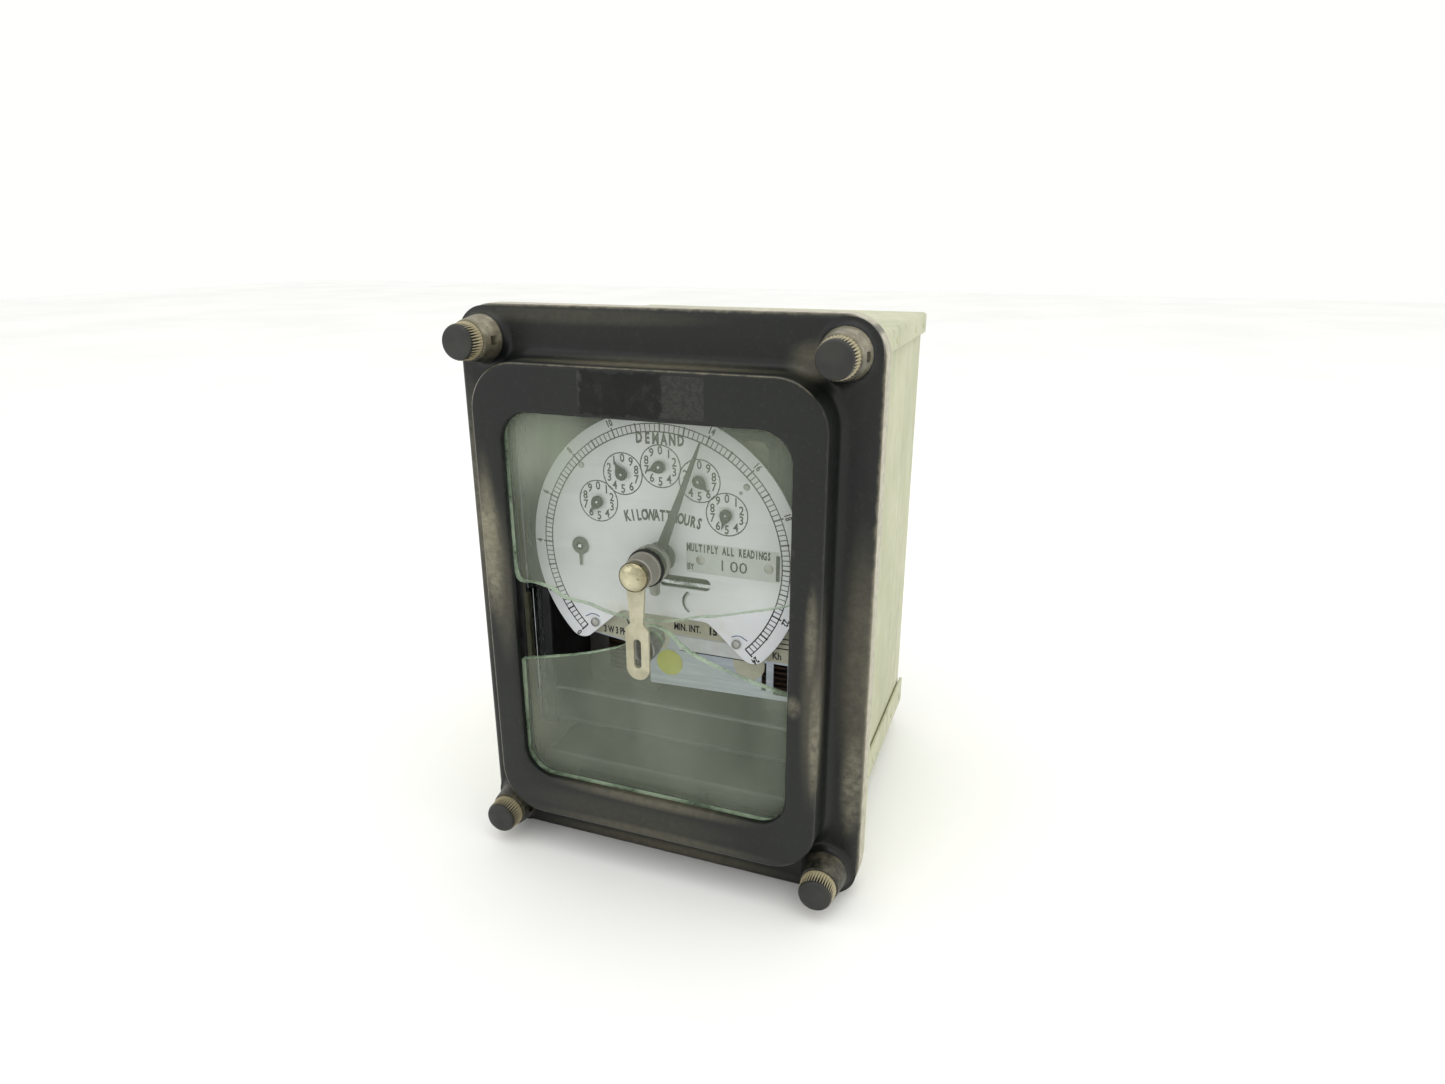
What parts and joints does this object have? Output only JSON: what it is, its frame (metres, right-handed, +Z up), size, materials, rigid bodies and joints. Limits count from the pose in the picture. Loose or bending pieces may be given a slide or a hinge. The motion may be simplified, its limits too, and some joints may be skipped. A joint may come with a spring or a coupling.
{
  "type": "analog dial electric meter",
  "caption": "Switchboard demand watthour meter: drawout sheet-steel case, black cover with cracked window, register dial, demand pointer, reset lever and thumb nuts.",
  "frame": {"origin": "bottom centre of the bounding box, under the middle of the meter", "axes": "+Z up, the dial and cover face -Y, the terminals face +Y, +X is the right-hand side as seen from the front"},
  "size_m": [0.1684, 0.1952, 0.2318],
  "materials": {
    "case_paint": "weathered pale sage paint with streaks",
    "dark_steel": "dark grey satin",
    "phenolic": "black moulded phenolic",
    "brass": "dull brass",
    "cover_black": "satin black, worn to khaki on the edges",
    "rubber": "black gasket",
    "glass": "clear, dusty, faint green edges",
    "grey_metal": "dull grey metal",
    "nickel": "polished nickel with a warm tone",
    "lever_metal": "satin nickel, warm",
    "dial_white": "white enamelled plate with black markings",
    "plate_silver": "satin etched plate",
    "lamination": "stacked steel laminations",
    "coil_tape": "varnished black tape",
    "copper": "varnished copper",
    "aluminium": "bright turned disc",
    "magnet_grey": "grey painted casting"
  },
  "bodies": {
    "case": {"case_wrapper": "case_paint", "case_top_cap": "case_paint", "case_bottom_cap": "case_paint", "case_flange": "case_paint", "cradle_rail_left": "dark_steel", "cradle_rail_right": "dark_steel", "terminal_block": "phenolic", "terminal_studs": "brass", "contact_block": "phenolic"},
    "cover": {"cover_frame": "cover_black", "cover_gasket": "rubber", "glass_gasket": "rubber", "glass_upper": "glass", "glass_lower": "glass", "glass_retainer": "dark_steel", "reset_bushing": "grey_metal", "reset_washer": "rubber", "reset_lock_nut": "grey_metal", "seal_post": "grey_metal"},
    "nut_top_left": {"thumb_nut_top_left": "cover_black"},
    "nut_top_right": {"thumb_nut_top_right": "cover_black"},
    "nut_bottom_left": {"thumb_nut_bottom_left": "cover_black"},
    "nut_bottom_right": {"thumb_nut_bottom_right": "cover_black"},
    "reset": {"reset_shaft": "grey_metal", "reset_knob": "nickel", "reset_lever": "lever_metal", "reset_arm": "grey_metal"},
    "cradle": {"cradle_frame": "dark_steel", "latch_strip_left": "plate_silver", "latch_strip_right": "plate_silver", "dial_plate": "dial_white", "dial_screw_left": "grey_metal", "dial_screw_right": "grey_metal", "register_front_plate": "brass", "register_back_plate": "brass", "demand_pusher_bar": "plate_silver", "nameplate": "plate_silver", "timing_motor": "grey_metal", "stator_core_left": "lamination", "voltage_coil_left": "coil_tape", "current_coil_left": "copper", "stator_core_right": "lamination", "voltage_coil_right": "coil_tape", "current_coil_right": "copper", "upper_bearing": "grey_metal", "lower_bearing": "grey_metal", "braking_magnet": "magnet_grey"},
    "rotor": {"rotor_disc": "aluminium", "rotor_shaft": "nickel"},
    "wheel": {"worm_wheel": "brass"},
    "arbor_1": {"register_pointer_1": "brass"},
    "arbor_2": {"register_pointer_2": "brass"},
    "arbor_3": {"register_pointer_3": "brass"},
    "arbor_4": {"register_pointer_4": "brass"},
    "arbor_5": {"register_pointer_5": "brass"},
    "demand": {"demand_pointer": "dark_steel"},
    "interval": {"interval_pointer": "dark_steel"},
    "plug": {"connection_plug": "phenolic", "plug_blades": "copper"}
  },
  "joints": [
    {"name": "cover_slide", "type": "slide", "parent": "case", "child": "cover", "axis": [0, -1, 0], "range_m": [0, 0.26]},
    {"name": "cradle_slide", "type": "slide", "parent": "case", "child": "cradle", "axis": [0, -1, 0], "range_m": [0, 0.091]},
    {"name": "plug_slide", "type": "slide", "parent": "cradle", "child": "plug", "axis": [0, -1, 0], "range_m": [0, 0.052]},
    {"name": "nut_top_left_turn", "type": "hinge", "parent": "cover", "child": "nut_top_left", "pos_m": [-0.0713, -0.0883, 0.2189], "axis": [0, 1, 0], "continuous": true},
    {"name": "nut_top_right_turn", "type": "hinge", "parent": "cover", "child": "nut_top_right", "pos_m": [0.0713, -0.0883, 0.2189], "axis": [0, 1, 0], "continuous": true},
    {"name": "nut_bottom_left_turn", "type": "hinge", "parent": "cover", "child": "nut_bottom_left", "pos_m": [-0.0713, -0.0883, 0.0129], "axis": [0, 1, 0], "continuous": true},
    {"name": "nut_bottom_right_turn", "type": "hinge", "parent": "cover", "child": "nut_bottom_right", "pos_m": [0.0713, -0.0883, 0.0129], "axis": [0, 1, 0], "continuous": true},
    {"name": "reset_turn", "type": "hinge", "parent": "cover", "child": "reset", "pos_m": [0, -0.0883, 0.1374], "axis": [0, 1, 0], "range_deg": [-100, 100]},
    {"name": "demand_turn", "type": "hinge", "parent": "cradle", "child": "demand", "pos_m": [0, -0.0683, 0.1374], "axis": [0, 1, 0], "range_deg": [-156, 114]},
    {"name": "interval_turn", "type": "hinge", "parent": "cradle", "child": "interval", "pos_m": [-0.036, -0.0683, 0.1374], "axis": [0, 1, 0], "continuous": true},
    {"name": "rotor_spin", "type": "hinge", "parent": "cradle", "child": "rotor", "pos_m": [0, -0.0083, 0.0859], "axis": [0, 0, 1], "continuous": true},
    {"name": "wheel_turn", "type": "hinge", "parent": "cradle", "child": "wheel", "pos_m": [0.0116, -0.0083, 0.1239], "axis": [0, 1, 0], "continuous": true},
    {"name": "arbor_1_turn", "type": "hinge", "parent": "cradle", "child": "arbor_1", "pos_m": [-0.027, -0.0683, 0.1569], "axis": [0, 1, 0], "continuous": true},
    {"name": "arbor_2_turn", "type": "hinge", "parent": "cradle", "child": "arbor_2", "pos_m": [-0.016, -0.0683, 0.1689], "axis": [0, 1, 0], "continuous": true},
    {"name": "arbor_3_turn", "type": "hinge", "parent": "cradle", "child": "arbor_3", "pos_m": [0, -0.0683, 0.1732], "axis": [0, 1, 0], "continuous": true},
    {"name": "arbor_4_turn", "type": "hinge", "parent": "cradle", "child": "arbor_4", "pos_m": [0.016, -0.0683, 0.1689], "axis": [0, 1, 0], "continuous": true},
    {"name": "arbor_5_turn", "type": "hinge", "parent": "cradle", "child": "arbor_5", "pos_m": [0.027, -0.0683, 0.1569], "axis": [0, 1, 0], "continuous": true}
  ],
  "couplings": [
    {"joint": "cradle_slide", "follows": "cover_slide", "ratio": 0.35},
    {"joint": "plug_slide", "follows": "cover_slide", "ratio": 0.2},
    {"joint": "wheel_turn", "follows": "rotor_spin", "ratio": 0.04},
    {"joint": "arbor_5_turn", "follows": "rotor_spin", "ratio": 0.01},
    {"joint": "arbor_4_turn", "follows": "rotor_spin", "ratio": -0.001},
    {"joint": "arbor_3_turn", "follows": "rotor_spin", "ratio": 0.0001},
    {"joint": "arbor_2_turn", "follows": "rotor_spin", "ratio": -0.00001},
    {"joint": "arbor_1_turn", "follows": "rotor_spin", "ratio": 0.000001}
  ]
}
